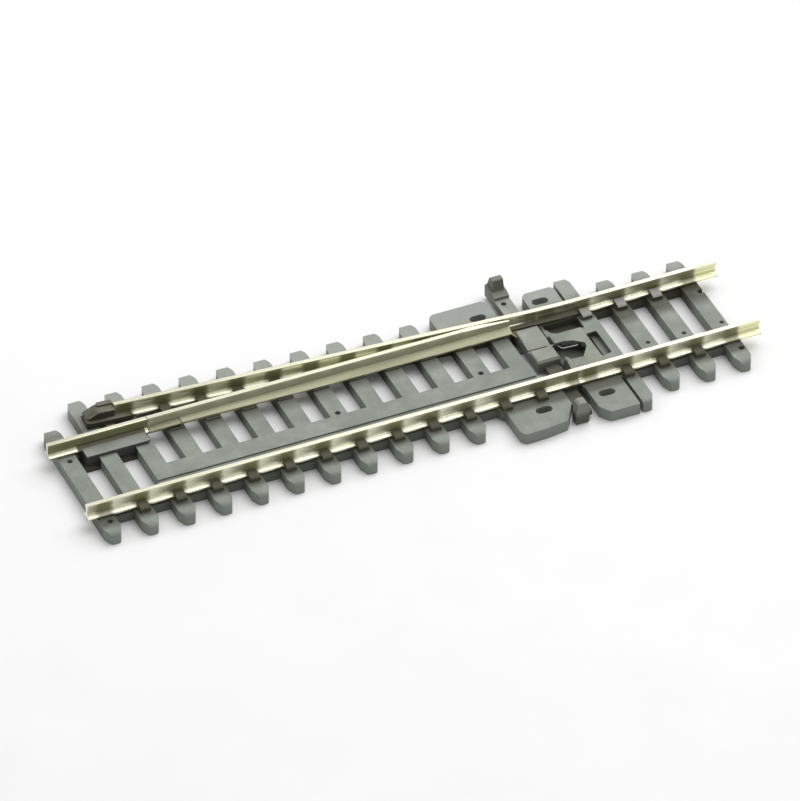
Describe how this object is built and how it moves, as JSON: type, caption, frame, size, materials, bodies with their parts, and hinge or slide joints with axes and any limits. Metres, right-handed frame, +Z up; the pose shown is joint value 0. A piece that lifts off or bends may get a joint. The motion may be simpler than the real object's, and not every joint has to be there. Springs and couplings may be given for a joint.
{
  "type": "model railway catch turnout",
  "caption": "Model railway catch turnout: sleeper base with lug pads, stock rails, one pivoting switch blade, sliding tie bar and an over-centre spring.",
  "frame": {"origin": "bottom centre of the part's box, on the plane the sleepers stand on", "axes": "+X along the track away from the free end of the diverging rail, +Y across the track towards the switch blade's side, +Z up"},
  "size_m": [0.124, 0.0398, 0.0052],
  "materials": {
    "sleeper_plastic": "satin moulded, green-grey",
    "tie_bar_plastic": "satin moulded, brown-grey",
    "cover_plastic": "satin moulded, green-grey",
    "nickel_silver_rail": "drawn, bright",
    "phosphor_bronze": "rolled strip",
    "spring_steel": "drawn wire"
  },
  "bodies": {
    "base": {"sleeper_base": "sleeper_plastic", "near_stock_rail": "nickel_silver_rail", "far_stock_rail": "nickel_silver_rail", "heel_rail": "nickel_silver_rail", "heel_block": "sleeper_plastic", "rail_end_block": "tie_bar_plastic", "rail_bonding_strip": "phosphor_bronze", "spring_cover": "cover_plastic", "over_centre_spring": "spring_steel"},
    "blade": {"switch_blade": "nickel_silver_rail", "blade_heel_tag": "phosphor_bronze", "blade_pivot_pin": "nickel_silver_rail", "pivot_retaining_washer": "spring_steel", "blade_toe_tag": "phosphor_bronze", "blade_toe_pin": "nickel_silver_rail"},
    "tie_bar": {"tie_bar": "tie_bar_plastic"}
  },
  "joints": [
    {"name": "tie_bar_slide", "type": "slide", "parent": "base", "child": "tie_bar", "axis": [0, -1, 0], "range_m": [0, 0.002], "deforming": ["over_centre_spring"]},
    {"name": "blade_swing", "type": "hinge", "parent": "base", "child": "blade", "pos_m": [-0.0457, 0.00728, 0.0012], "axis": [0, 0, -1], "range_deg": [0, 1.62]}
  ],
  "couplings": [
    {"joint": "blade_swing", "follows": "tie_bar_slide", "rad_per_m": 14.085}
  ]
}
